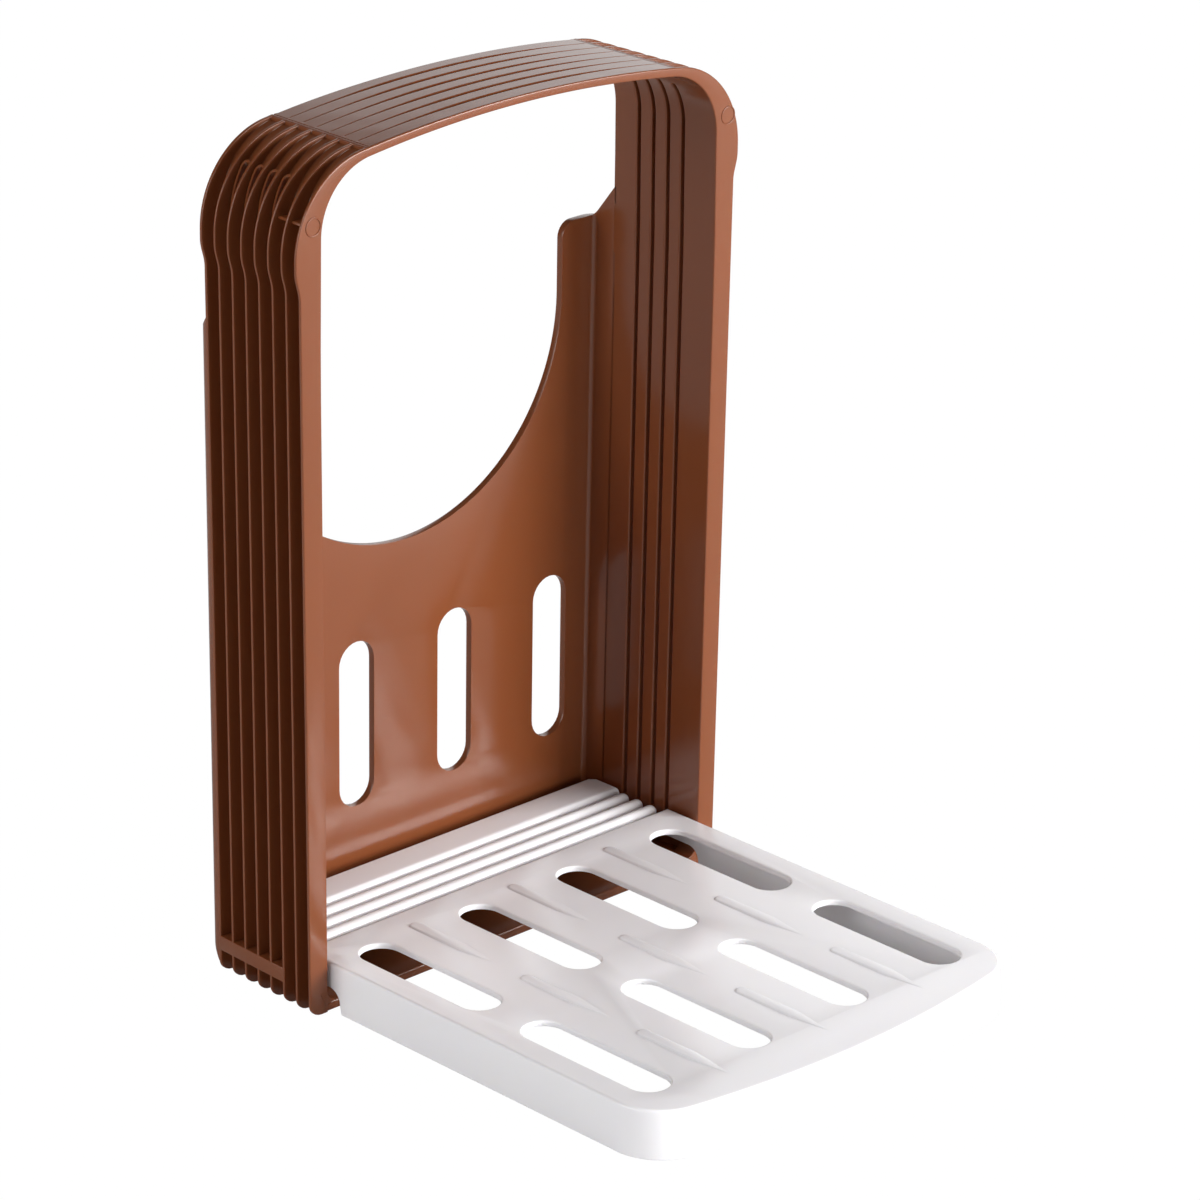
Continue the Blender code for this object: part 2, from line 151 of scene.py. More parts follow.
def smooth_step(value, low, high):
    """Goes smoothly from 0 at a low value to 1 at a high one."""
    share = min(1, max(0, (value - low) / (high - low)))
    return share * share * (3 - 2 * share)


inner_corner = corner_centre(
    inner_half_width + (inner_lean - upper_lean) * knee_height,
    upper_lean,
    inner_height,
    inner_crown_radius,
    inner_corner_radius,
)
inner_crown = (0, inner_height - inner_crown_radius)
corner_turn = math.atan2(inner_corner[1] - inner_crown[1], inner_corner[0])
outer_crown = (0, crown_height - outer_crown_radius)
shoulder_x = shoulder_half_width - shoulder_radius
shoulder_rise = math.sqrt((outer_crown_radius - shoulder_radius) ** 2 - shoulder_x ** 2)
shoulder = (shoulder_x, outer_crown[1] + shoulder_rise)
shoulder_turn = math.atan2(shoulder_rise, shoulder_x)
waist_height = shoulder[1] - shoulder_straight - ogee_height


def drawn_in(x, depth, draft):
    """Where a mould's draft puts x at a depth: the sides draw in, and the middle stays."""
    return x - draft * depth * max(-1, min(1, x / inner_half_width))


def inner_x(height):
    """Half width inside: the wall leans out up to a knee, in above it, and turns into the corner arc."""
    if height > inner_corner[1]:
        return inner_corner[0] + math.sqrt(inner_corner_radius ** 2 - (height - inner_corner[1]) ** 2)
    above = max(0, height - knee_height)
    return inner_half_width + inner_lean * min(height, knee_height) + upper_lean * above


def rib_edge(height):
    """Half width of the ribs' outer edge on the straight wall, the ogee and the low part of the shoulder."""
    if height < rib_foot_radius:
        rise = rib_foot_radius - height
        return rib_half_width - rib_foot_radius + math.sqrt(rib_foot_radius ** 2 - rise ** 2)
    if height > shoulder[1]:
        return shoulder[0] + math.sqrt(shoulder_radius ** 2 - (height - shoulder[1]) ** 2)
    wall = rib_half_width + rib_lean * min(height, waist_height)
    swell = min(1, max(0, (height - waist_height) / ogee_height))
    return wall + (shoulder_half_width - wall) * (1 - math.cos(math.pi * swell)) / 2


def rib_reach(origin, angle):
    """Distance to the ribs' outer edge, which lies on the shoulder arc or on the crown arc."""
    distance = far_side(origin, angle, outer_crown, outer_crown_radius)
    x, z = point_at(origin, angle, distance)
    if math.atan2(z - outer_crown[1], x) < shoulder_turn:
        distance = far_side(origin, angle, shoulder, shoulder_radius)
    return distance


def half_section():
    """Up one side of the arch: the inner face, the skin and the rib edge that face each other."""
    foot = [rib_foot_radius * (1 - cosine) for sine, cosine in quarter(6)]
    straight = waist_height - section_wall_start
    wall = [section_wall_start + straight * step / 14 for step in range(1, 14)]
    ogee = [waist_height + ogee_height * step / 12 for step in range(13)]
    low_shoulder = [shoulder[1] + (inner_corner[1] - shoulder[1]) * step / 4 for step in range(5)]
    section = []
    for height in foot + wall + ogee + low_shoulder:
        inside = inner_x(height)
        section.append(((inside, height), (inside + skin_thickness, height), (rib_edge(height), height)))
    marks = list(gap_end)
    for place in witness_places:
        marks += [place + offset * witness_half_width for offset in (-witness_margin, 0, witness_margin)]
    for origin, radius, start, end, steps in (
        (inner_corner, inner_corner_radius, 0, corner_turn, 26),
        (inner_crown, inner_crown_radius, corner_turn, math.pi / 2, 44),
    ):
        outside = radius + skin_thickness
        angles = [start + (end - start) * step / steps for step in range(1, steps + 1)]
        turns = [math.acos((mark - origin[0]) / outside) for mark in marks]
        angles += [turn for turn in turns if start < turn < end - section_angle_margin]
        for angle in sorted(angles):
            distances = (radius, outside, rib_reach(origin, angle))
            section.append(tuple(point_at(origin, angle, distance) for distance in distances))
    return section


def arch_ring(section, rib, offset, below_edge=None, above_skin=None, plain=False, inner_cut=0, taper=0):
    """One closed ring of the arch behind the front of a rib, below the ribs' edge or above the skin.

    On the crown, where the ribs have run out, the same rings make the grooves. These get thin towards their
    ends.
    """
    depth = rib * rib_pitch + offset
    aside = offset - rib_thickness / 2
    wall_of_groove = (rib_thickness / 2, rib_thickness / 2 + crown_groove_wall)
    groove = 0 if rib == 0 else crown_groove_depth * (1 - smooth_step(abs(aside), *wall_of_groove))
    outer = []
    inner = []
    for (inside_x, inside_z), (skin_x, skin_z), (edge_x, edge_z) in section:
        inside = (drawn_in(inside_x, depth, wall_draft), inside_z)
        edge = (drawn_in(edge_x, depth, rib_draft), edge_z)
        span = math.dist(inside, edge)
        out = ((edge[0] - inside[0]) / span, (edge[1] - inside[1]) / span)
        room = max(0, span - skin_thickness)
        drop = below_edge if above_skin is None else room - above_skin
        if not plain:
            drop = min(max(drop, 0), room * smooth_step(skin_x, *gap_end))
            for place in witness_places:
                drop += witness_depth * max(0, 1 - abs(skin_x - place) / witness_half_width)
        fade = crown_groove_thinning * smooth_step(skin_x, *crown_groove_fade)
        end = smooth_step(skin_x, *crown_groove_end)
        drop += groove * (1 - fade) * (1 - end)
        squeeze = 0 if rib == 0 else -aside * fade * (1 - smooth_step(skin_x, *witness_places))
        above_wall = smooth_step(inside_z, rear_wall_height - rear_edge_fade, rear_wall_height)
        pull = inner_cut * (above_wall if depth > arch_depth / 2 else 1)
        outer_depth = front_face + depth + taper * min(1, room / taper_height) + squeeze
        outer.append((edge[0] - out[0] * drop, outer_depth, edge[1] - out[1] * drop))
        inner.append((inside[0] + out[0] * pull, front_face + depth, inside[1] + out[1] * pull))
    full_outer = outer + [(-x, y, z) for x, y, z in reversed(outer[:-1])]
    full_inner = inner + [(-x, y, z) for x, y, z in reversed(inner[:-1])]
    return full_outer + full_inner[::-1]


def arch_rings():
    """All rings from the front face to the rear edge: eight ribs with tapered flanks and rounded edges."""
    section = half_section()
    root_steps = [(rib_root_run, 0)]
    for sine, cosine in quarter(2):
        root_steps.append((rib_root_radius * (1 - sine), rib_root_radius * (1 - cosine)))
    rings = []
    for rib in range(rib_count):
        first = rib == 0
        last = rib == rib_count - 1
        edges = []
        if first:
            for sine, cosine in quarter(5):
                pulled = front_edge_radius * (1 - sine)
                edges.append((front_edge_radius * (1 - cosine), pulled, pulled, 0))
        else:
            rings += [arch_ring(section, rib, -away, above_skin=rise) for away, rise in root_steps]
            for sine, cosine in quarter(3):
                edges.append((rib_edge_radius * (1 - cosine), rib_edge_radius * (1 - sine), 0, rib_taper))
        for sine, cosine in reversed(quarter(3)):
            pulled = rib_edge_radius * (1 - sine)
            offset = rib_thickness - rib_edge_radius * (1 - cosine)
            edges.append((offset, pulled, pulled if last else 0, 0 if last else -rib_taper))
        for offset, pulled, inner_pull, taper in edges:
            plain = first and offset < rib_thickness / 2
            rings.append(arch_ring(
                section, rib, offset, below_edge=pulled, plain=plain, inner_cut=inner_pull, taper=taper
            ))
        if not last:
            for away, rise in reversed(root_steps):
                rings.append(arch_ring(section, rib, rib_thickness + away, above_skin=rise))
    return rings


def mesh_object(name, stacks, strip_caps=False):
    """One object from stacks of rings with equal point counts.

    A strip cap joins an end ring's outer half to its own inner half. Other end rings are closed by one face.
    """
    sculpt = bmesh.new()
    for rings in stacks:
        loops = [[sculpt.verts.new(point) for point in ring] for ring in rings]
        for first, second in zip(loops, loops[1:]):
            for i in range(len(first)):
                j = (i + 1) % len(first)
                sculpt.faces.new((first[i], first[j], second[j], second[i]))
        for loop in (loops[0], loops[-1]):
            if strip_caps:
                for i in range(len(loop) // 2 - 1):
                    sculpt.faces.new((loop[i], loop[i + 1], loop[-2 - i], loop[-1 - i]))
            else:
                sculpt.faces.new(loop)
    bmesh.ops.remove_doubles(sculpt, verts=sculpt.verts, dist=weld_distance)
    bmesh.ops.recalc_face_normals(sculpt, faces=sculpt.faces)
    mesh = bpy.data.meshes.new(name)
    sculpt.to_mesh(mesh)
    sculpt.free()
    item = bpy.data.objects.new(name, mesh)
    bpy.context.scene.collection.objects.link(item)
    return item


def apply_modifiers(item):
    """Turns what an object's modifiers make into its own mesh."""
    bpy.context.view_layer.update()
    view = bpy.context.evaluated_depsgraph_get()
    result = bpy.data.meshes.new_from_object(item.evaluated_get(view))
    item.modifiers.clear()
    item.data = result


def carve(body, tool, operation="DIFFERENCE"):
    """Cuts a tool out of a body, or joins it on, and removes the tool."""
    modifier = body.modifiers.new(tool.name, "BOOLEAN")
    modifier.operation = operation
    modifier.solver = "EXACT"
    modifier.object = tool
    apply_modifiers(body)
    bpy.data.objects.remove(tool)


def soften(item, width, angle=math.radians(40)):
    """Rounds the sharp edges of an object."""
    bevel = item.modifiers.new("soft edges", "BEVEL")
    bevel.width = width
    bevel.segments = 3
    bevel.limit_method = "ANGLE"
    bevel.angle_limit = angle
    bevel.harden_normals = False
    apply_modifiers(item)


def shade(item, angle=math.radians(35)):
    """Shades faces smooth, except where they meet at a sharp edge."""
    item.data.shade_smooth()
    item.data.set_sharp_from_angle(angle=angle)


def along_x(outline, start, end):
    """A prism's two rings, from an outline of depth and height."""
    return [[(place, front_face + y, z) for y, z in outline] for place in (start, end)]


def along_y(outline, start, end, draft=0):
    """A prism's two rings, from an outline of width and height; it may draw in towards the rear."""
    depths = (start, end)
    return [[(drawn_in(x, depth, draft), front_face + depth, z) for x, z in outline] for depth in depths]


def along_z(outline, start, end):
    """A prism's two rings, from an outline of width and depth."""
    return [[(x, front_face + y, place) for x, y in outline] for place in (start, end)]


def linear(code):
    """An sRGB hex colour as linear red, green, blue and alpha."""
    shares = [int(code[start:start + 2], 16) / 255 for start in (1, 3, 5)]
    return [s / 12.92 if s <= 0.04045 else ((s + 0.055) / 1.055) ** 2.4 for s in shares] + [1]


def add(tree, kind, settings, links=()):
    """Adds a node, sets its properties and sockets, and links sockets to it."""
    node = tree.nodes.new(kind)
    for name, value in settings.items():
        if isinstance(name, str) and hasattr(node, name):
            setattr(node, name, value)
        else:
            node.inputs[name].default_value = value
    for name, source in links:
        tree.links.new(source, node.inputs[name])
    return node


def moulded_polypropylene(name, colour, cloudy, roughness, glow_radii, glow):
    """Polypropylene off a polished mould: soft highlights on a satin gloss, and light that enters thin edges.

    Faint flow clouds, 24 mm wide, keep the tone and the gloss from being flat. Waves in the face, 7 mm wide
    and 0.05 mm deep, break the highlights a little. A finer grain would not show in a picture of this size.
    """
    material = bpy.data.materials.new(name)
    material.use_nodes = True
    tree = material.node_tree
    surface = tree.nodes["Principled BSDF"]
    place = add(tree, "ShaderNodeTexCoord", {}).outputs["Object"]
    flow_width = 24 * mm
    wave_width = 7 * mm
    wave_height = 0.05 * mm
    flow = add(
        tree, "ShaderNodeTexNoise",
        {"Scale": 1 / flow_width, "Detail": 2, "Roughness": 0.45},
        [("Vector", place)],
    )
    tone = add(
        tree, "ShaderNodeMix",
        {"data_type": "RGBA", 6: linear(colour), 7: linear(cloudy)},
        [(0, flow.outputs["Fac"])],
    )
    gloss = add(
        tree, "ShaderNodeMapRange",
        {"From Min": 0, "From Max": 1, "To Min": roughness[0], "To Max": roughness[1]},
        [("Value", flow.outputs["Fac"])],
    )
    waves = add(tree, "ShaderNodeTexNoise", {"Scale": 1 / wave_width, "Detail": 0}, [("Vector", place)])
    bump = add(
        tree, "ShaderNodeBump",
        {"Strength": 1.0, "Distance": wave_height},
        [("Height", waves.outputs["Fac"])],
    )
    tree.links.new(tone.outputs[2], surface.inputs["Base Color"])
    tree.links.new(gloss.outputs["Result"], surface.inputs["Roughness"])
    tree.links.new(bump.outputs["Normal"], surface.inputs["Normal"])
    surface.inputs["IOR"].default_value = 1.5
    surface.inputs["Specular IOR Level"].default_value = 0.5
    surface.inputs["Subsurface Weight"].default_value = glow
    surface.inputs["Subsurface Radius"].default_value = glow_radii
    surface.inputs["Subsurface Scale"].default_value = 1 * mm
    return material


# A warm toffee brown. Its red light travels furthest inside, so thin ribs and edges look a little redder.
brown = moulded_polypropylene(
    "brown polypropylene", "#7B4426", "#764023", (0.18, 0.22), (1.4, 0.35, 0.12), 0.2
)


def brown_piece(item):
    """Finishes a piece of the guide frame."""
    item.data.materials.clear()
    item.data.materials.append(brown)
    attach(item, "frame")
    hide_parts("guide_frame")


def slot_cutter(side, depth):
    """The space of one knife slot, which flares at the inner face so that the slot gets a rounded lip."""
    half = knife_slot_width / 2
    round_start = knife_slot_top - half
    levels = [(height, half) for height in knife_slot_levels]
    levels += [(inner_corner[1] + (round_start - inner_corner[1]) * step / 8, half) for step in range(9)]
    levels += [(round_start + half * sine, half * cosine) for sine, cosine in quarter(5)[1:-1]]
    stack = []
    for height, opening in levels:
        face = drawn_in(inner_x(height), depth, wall_draft)
        near = [(face - cutter_inside, opening + knife_slot_lip)]
        for sine, cosine in quarter(4):
            near.append((face + knife_slot_lip * (1 - cosine), opening + knife_slot_lip * (1 - sine)))
        near.append((face + cutter_outside, opening))
        ring = near + [(x, -reach) for x, reach in reversed(near)]
        stack.append([(side * x, front_face + depth + reach, height) for x, reach in ring])
    return stack


arch = mesh_object("arch", [arch_rings()], strip_caps=True)
slots = [slot_cutter(side, depth) for depth in knife_depths for side in (-1, 1)]
carve(arch, mesh_object("knife slots", slots))
shade(arch)
brown_piece(arch)

# The rear wall of the guide frame.
# The same moulding goes on behind the last rib: plain side walls, and a panel with a deep U cut-out and four
# long slots. Its slanted top falls from the last rib to the panel.

panel_thickness = 1.9 * mm
frame_depth = panel_depth + panel_thickness
panel_drop = 8.6 * mm
panel_height = rear_wall_height - panel_drop
rear_corner_radius = 4.3 * mm
rear_foot_radius = 4 * mm
wall_fillet = 1.2 * mm
floor_thickness = 2.4 * mm
cutout_radius = 52.2 * mm
cutout_straight_height = 18 * mm
cutout_lip_radius = 4.2 * mm
panel_edge_radius = 0.45 * mm
column_places = [place * mm for place in (-49.2, -16.4, 16.4, 49.2)]
panel_slot_radius = 5.75 * mm
panel_slot_low = 26.4 * mm
panel_slot_high = 70.5 * mm
clear = 1 * mm
rear_wall_overlap = 0.6 * mm
rear_wall_levels = (40 * mm, 80 * mm, 120 * mm, knee_height, rear_wall_height + clear)


def mirrored(half):
    """A closed outline from its right half, which ends on the middle line."""
    return half + [(-x, height) for x, height in reversed(half) if x > weld_distance]


def inner_outline(inset, foot):
    """The room for the loaf, drawn in by an inset."""
    levels = (foot, knee_height, *(inner_corner[1] - step * mm for step in (20, 10, 0)))
    half = [(inner_x(height) - inset, height) for height in levels]
    half += arc(inner_corner, inner_corner_radius - inset, 0, corner_turn, 26)[1:]
    half += arc(inner_crown, inner_crown_radius - inset, corner_turn, math.pi / 2, 24)[1:]
    return mirrored(half)


def stadium(middle, low, high, radius, steps=14):
    """A slot outline with round ends, from low to high along its second axis."""
    lower = arc((middle, low + radius), radius, math.pi, 2 * math.pi, steps)
    upper = arc((middle, high - radius), radius, 0, math.pi, steps)
    return lower + upper


def rear_wall_rings():
    """The outside of the rear wall before its top is cut: rounded foot and leaning sides."""
    corner = [(0, arch_depth - rear_wall_overlap)]
    centre = (-rear_corner_radius, frame_depth - rear_corner_radius)
    corner += arc(centre, rear_corner_radius, 0, math.pi / 2, 14)
    levels = [(rear_foot_radius * (1 - cosine), rear_foot_radius * (1 - sine)) for sine, cosine in quarter(6)]
    levels += [(height, 0) for height in rear_wall_levels]
    rings = []
    for height, pulled in levels:
        half = []
        for aside, y in corner:
            share = max(0, y - centre[1]) / rear_corner_radius
            x = drawn_in(inner_x(height) + skin_thickness + aside, y, wall_draft)
            half.append((x, front_face + y - pulled * share, height))
        rings.append(half + [(-x, y, z) for x, y, z in reversed(half)])
    return rings


rear_wall = mesh_object("rear_wall", [rear_wall_rings()])
fall = (rear_wall_height - panel_height) / (panel_depth - arch_depth)
slant = [
    (arch_depth - clear, rear_wall_height + fall * clear),
    (panel_depth, panel_height),
    (frame_depth + clear, panel_height),
    (frame_depth + clear, rear_wall_height + 2 * clear),
    (arch_depth - clear, rear_wall_height + 2 * clear),
]
carve(rear_wall, mesh_object("slanted top", [along_x(slant, -rib_half_width, rib_half_width)]))
loaf_room = along_y(
    inner_outline(0, floor_thickness), arch_depth - 4 * clear, panel_depth - wall_fillet, wall_draft
)
for sine, cosine in quarter(5)[1:]:
    inset = wall_fillet * (1 - cosine)
    depth = panel_depth - wall_fillet * (1 - sine)
    outline = inner_outline(inset, floor_thickness + inset)
    loaf_room.append([(drawn_in(x, depth, wall_draft), front_face + depth, z) for x, z in outline])
carve(rear_wall, mesh_object("room", [loaf_room]))
cutout_centre = panel_height - cutout_straight_height
cutout = arc((0, cutout_centre), cutout_radius, -math.pi / 2, 0, 48)
lip = (cutout_radius + cutout_lip_radius, panel_height - cutout_lip_radius)
cutout += arc(lip, cutout_lip_radius, math.pi, math.pi / 2, 10)
cutout.append((cutout_radius + cutout_lip_radius, rear_wall_height + clear))
cutout += [(-x, z) for x, z in reversed(cutout[1:])]
cutout_space = along_y(cutout, panel_depth - wall_fillet - clear, frame_depth + clear)
carve(rear_wall, mesh_object("cut-out", [cutout_space]))
panel_slots = []
for x in column_places:
    outline = stadium(x, panel_slot_low, panel_slot_high, panel_slot_radius)
    panel_slots.append(along_y(outline, panel_depth - clear, frame_depth + clear))
carve(rear_wall, mesh_object("panel slots", panel_slots))
soften(rear_wall, panel_edge_radius)
shade(rear_wall)
brown_piece(rear_wall)

# The floor of the guide frame.
# It is part of the same moulding and ties the feet of the walls together under the base plate. At the front
# it meets each wall in a small concave gusset, beside a fine crease in the foot of the front face.

floor_front = 0.1 * mm
floor_edge_radius = 0.5 * mm
gusset_radius = 3.3 * mm
gusset_depth = 6 * mm
gusset_edge_radius = 0.2 * mm
gusset_edge_angle = math.radians(60)
crease = ((64.97 * mm, 5.45 * mm), (64.5 * mm, 4.36 * mm), (63.95 * mm, 3.1 * mm), (63.4 * mm, 1.82 * mm))
crease_bead = 0.13 * mm

floor_side = inner_half_width + clear
floor_outline = [
    (-floor_side, floor_front),
    (floor_side, floor_front),
    (floor_side, panel_depth - rear_foot_radius),
    (-floor_side, panel_depth - rear_foot_radius),
]
floor_plate = mesh_object("frame_floor", [along_z(floor_outline, 0, floor_thickness)])
soften(floor_plate, floor_edge_radius)
shade(floor_plate)
brown_piece(floor_plate)

gussets = []
for side in (-1, 1):
    centre = (inner_half_width - gusset_radius, floor_thickness + gusset_radius)
    outline = [(inner_half_width + clear, floor_thickness - clear), (inner_half_width + clear, centre[1])]
    outline += arc(centre, gusset_radius, 0, -math.pi / 2, 10)
    outline.append((centre[0], floor_thickness - clear))
    gussets.append(along_y([(side * x, z) for x, z in outline], 2 * floor_front, gusset_depth, wall_draft))
floor_gussets = mesh_object("floor_gussets", gussets)
soften(floor_gussets, gusset_edge_radius, gusset_edge_angle)
shade(floor_gussets)
brown_piece(floor_gussets)


def bead(name, path, radius, closed=False):
    """A round bead along a path."""
    curve = bpy.data.curves.new(name, "CURVE")
    curve.dimensions = "3D"
    curve.bevel_depth = radius
    curve.bevel_resolution = 3
    curve.use_fill_caps = not closed
    line = curve.splines.new("POLY")
    line.points.add(len(path) - 1)
    for point, place in zip(line.points, path):
        point.co = (*place, 1)
    line.use_cyclic_u = closed
    item = bpy.data.objects.new(name, curve)
    bpy.context.scene.collection.objects.link(item)
    return item


for word, side in (("left", -1), ("right", 1)):
    path = [(side * x, front_face, z) for x, z in crease]
    brown_piece(bead(f"foot_crease_{word}", path, crease_bead))

# The collars of the knife slots.
# Round the top of each slot a thin wall stands up from the skin between two ribs, like an upturned U.
# They are part of the same moulding, and they stiffen the skin where the slot ends.

collar_thickness = 0.65 * mm
collar_height = 1.9 * mm
collar_root = 0.4 * mm
collar_foot = -19 * mm
collar_top = 12.2 * mm
collar_rise = 12 * mm
collar_slot_gap = 0.4 * mm
collar_rib_gap = 0.8 * mm
collar_flat_share = 0.6
collar_crown = 1.08
collar_crown_share = 0.4


def on_skin(side, depth, along, height):
    """A point over the skin, from the distance along it past the start of its corner arc."""
    reach = inner_corner_radius + skin_thickness
    turn = max(0, along) / reach
    x = inner_corner[0] + (reach + height) * math.cos(turn) + upper_lean * min(0, along)
    z = inner_corner[1] + (reach + height) * math.sin(turn) + min(0, along)
    return side * drawn_in(x, depth, wall_draft), front_face + depth, z


def collar_rings(side, depth):
    """A thin wall with a rounded top that runs up the rear of a slot, round its top and down its front."""
    gap_start = rib_thickness + rib_pitch * math.floor(depth / rib_pitch)
    front_leg = depth - knife_slot_width / 2 - collar_slot_gap
    rear_leg = gap_start + rib_pitch - rib_thickness - collar_rib_gap
    middle = (front_leg + rear_leg) / 2
    radius = (rear_leg - front_leg) / 2
    rises = [collar_foot + (collar_top - radius - collar_foot) * step / 20 for step in range(20)]
    path = [(rear_leg, along, 1, 0) for along in rises]
    for step in range(21):
        turn = math.pi * step / 20
        away, up = math.cos(turn), math.sin(turn)
        path.append((middle + radius * away, collar_top - radius + radius * up, away, up))
    path += [(front_leg, along, -1, 0) for along in reversed(rises)]
    half = collar_thickness / 2
    profile = [(-half, -collar_root), (-half, 1), (-half * collar_flat_share, collar_crown)]
    profile += [(-aside, height) for aside, height in reversed(profile)]
    rings = []
    for place, along, away, up in path:
        stand = collar_height * smooth_step(along, collar_foot, collar_foot + collar_rise)
        ring = []
        for aside, height in profile:
            lift = height if height < 0 else height * (stand - half * collar_crown_share)
            ring.append(on_skin(side, place + aside * away, along + aside * up, lift))
        rings.append(ring)
    return rings


for side, word in ((-1, "left"), (1, "right")):
    collars = mesh_object(f"slot_collars_{word}", [collar_rings(side, depth) for depth in knife_depths])
    shade(collars)
    brown_piece(collars)

# The tie bars and the webs between the ribs.
# All of them are part of the same moulding. Low on each side a bar ties the six rear ribs together, flush
# with their edges. Under each shoulder a thin web closes the two front gaps, set back from the edges.

tie_low = 5.9 * mm
tie_high = 9.7 * mm
tie_first_rib = 2
web_low = 197.9 * mm
web_thickness = 0.6 * mm
web_setback = 1.5 * mm
bar_edge_radius = 0.15 * mm

tie_front = tie_first_rib * rib_pitch + rib_thickness / 2
bars = []
webs = []
for side in (-1, 1):
    inside = inner_half_width + skin_thickness / 2
    bar = [
        (side * inside, tie_low),
        (side * rib_edge(tie_low), tie_low),
        (side * rib_edge(tie_high), tie_high),
        (side * inside, tie_high),
    ]
    bars.append(along_y(bar, tie_front, arch_depth - rib_thickness / 2, rib_draft))
    web_high = web_low + web_thickness
    web = [
        (side * inside, web_low),
        (side * (rib_edge(web_low) - web_setback), web_low),
        (side * (rib_edge(web_high) - web_setback), web_high),
        (side * inside, web_high),
    ]
    webs.append(along_y(web, rib_thickness / 2, 2 * rib_pitch + rib_thickness / 2, rib_draft))
for name, stacks in (("tie_bars", bars), ("webs", webs)):
    piece = mesh_object(name, stacks)
    soften(piece, bar_edge_radius)
    shade(piece)
    brown_piece(piece)

# The ejector marks.
# The pins that push the brown moulding out of its mould leave a fine raised ring on each shoulder of its
# front face.

mark_places = (("left", -66.0 * mm, 197.7 * mm), ("right", 67.3 * mm, 197.7 * mm))
mark_radius = 2.15 * mm
mark_bead = 0.2 * mm

for word, x, z in mark_places:
    ring = arc((x, z), mark_radius, 0, 2 * math.pi, 40)[:-1]
    path = [(across, front_face, height) for across, height in ring]
    brown_piece(bead(f"ejector_mark_{word}", path, mark_bead, closed=True))

# The hinge pins.
# A short round stub on the inside of each wall, moulded with it in brown, for the base's lugs to turn on.
# The photograph does not show the pivot, so these stubs and the lugs stand in for it.

hinge_setback = 7.4 * mm
hinge_depth = panel_depth - hinge_setback
hinge_height = 7.8 * mm
pin_radius = 1.9 * mm
pin_length = 3.0 * mm
pin_edge_radius = 0.2 * mm

pin = arc((hinge_depth, hinge_height), pin_radius, 0, 2 * math.pi, 32)[:-1]
wall = drawn_in(inner_x(hinge_height), hinge_depth, wall_draft)
pins = [along_x(pin, side * (wall + skin_thickness / 2), side * (wall - pin_length)) for side in (-1, 1)]
hinge_pins = mesh_object("hinge_pins", pins)
soften(hinge_pins, pin_edge_radius)
shade(hinge_pins)
brown_piece(hinge_pins)

# The base plate.
# One white polypropylene moulding, open underneath: a plate with a skirt, a bowed front edge and two rows of
# slots with softened rims. It turns on the pins at its rear and folds up against the panel.

base_low, base_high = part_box("bread_base")
base_reach = front_face - base_low[1]
base_half_width = base_high[0]
base_height = 12.7 * mm
base_front_radius = 285.7 * mm
base_corner_radius = 13.5 * mm
base_edge_radius = 0.8 * mm
base_foot_radius = 0.3 * mm
plate_thickness = 1.4 * mm
skirt_thickness = 1.8 * mm
notch_setback = 3.8 * mm
notch_lean = 0.6 * mm
notch_radius = 3.7 * mm
skirt_lift = 6.1 * mm
groove_width = 1.5 * mm
groove_depth = 3 * mm
groove_web_thickness = 1.7 * mm
crest_radius = (knife_depths[0] - knife_depths[1] - groove_width) / 2
crest_axis_height = base_height - crest_radius
groove_floor = base_height - groove_depth
plate_lip = knife_depths[-1] - crest_radius - groove_width / 2
strip_lip = knife_depths[0] + crest_radius + groove_width / 2
strip_inset = 0.4 * mm
strip_half_width = base_half_width - strip_inset
strip_overhang = 3.1 * mm
strip_rear = hinge_depth + strip_overhang
strip_chamfer = 1.4 * mm
slot_radius = 5.4 * mm
slot_rim = 0.45 * mm
slot_rear = 1.2 * mm
slot_length = 45 * mm
slot_row_gap = 11.6 * mm
slot_rows = 2


def base_half(inset, rear):
    """Right half of the base seen from above, from the rear forward, drawn in by an inset."""
    half_width = base_half_width - inset
    height = base_reach - inset
    crown = base_front_radius - inset
    corner = base_corner_radius - inset
    centre = corner_centre(half_width, 0, height, crown, corner)
    turn = math.atan2(centre[1] - height + crown, centre[0])
    half = [(half_width, -rear)]
    half += arc(centre, corner, 0, turn, 24)
    half += arc((0, height - crown), crown, turn, math.pi / 2, 24)[1:]
    return [(x, -y) for x, y in half]


def base_shell():
    """The base's outside, from its foot to the softened top edge."""
    profile = []
    for sine, cosine in quarter(3):
        profile.append((base_foot_radius * (1 - sine), base_foot_radius * (1 - cosine)))
    for sine, cosine in quarter(5):
        profile.append((base_edge_radius * (1 - cosine), base_height - base_edge_radius * (1 - sine)))
    stack = []
    for inset, height in profile:
        plate_rear = plate_lip + crest_radius
        side = strip_half_width - inset
        rear = strip_rear - inset
        half = [(side - strip_chamfer, rear), (side, rear - strip_chamfer), (side, plate_rear)]
        half += base_half(inset, plate_rear)
        stack.append([(x, front_face + y, height) for x, y in mirrored(half)])
    return stack


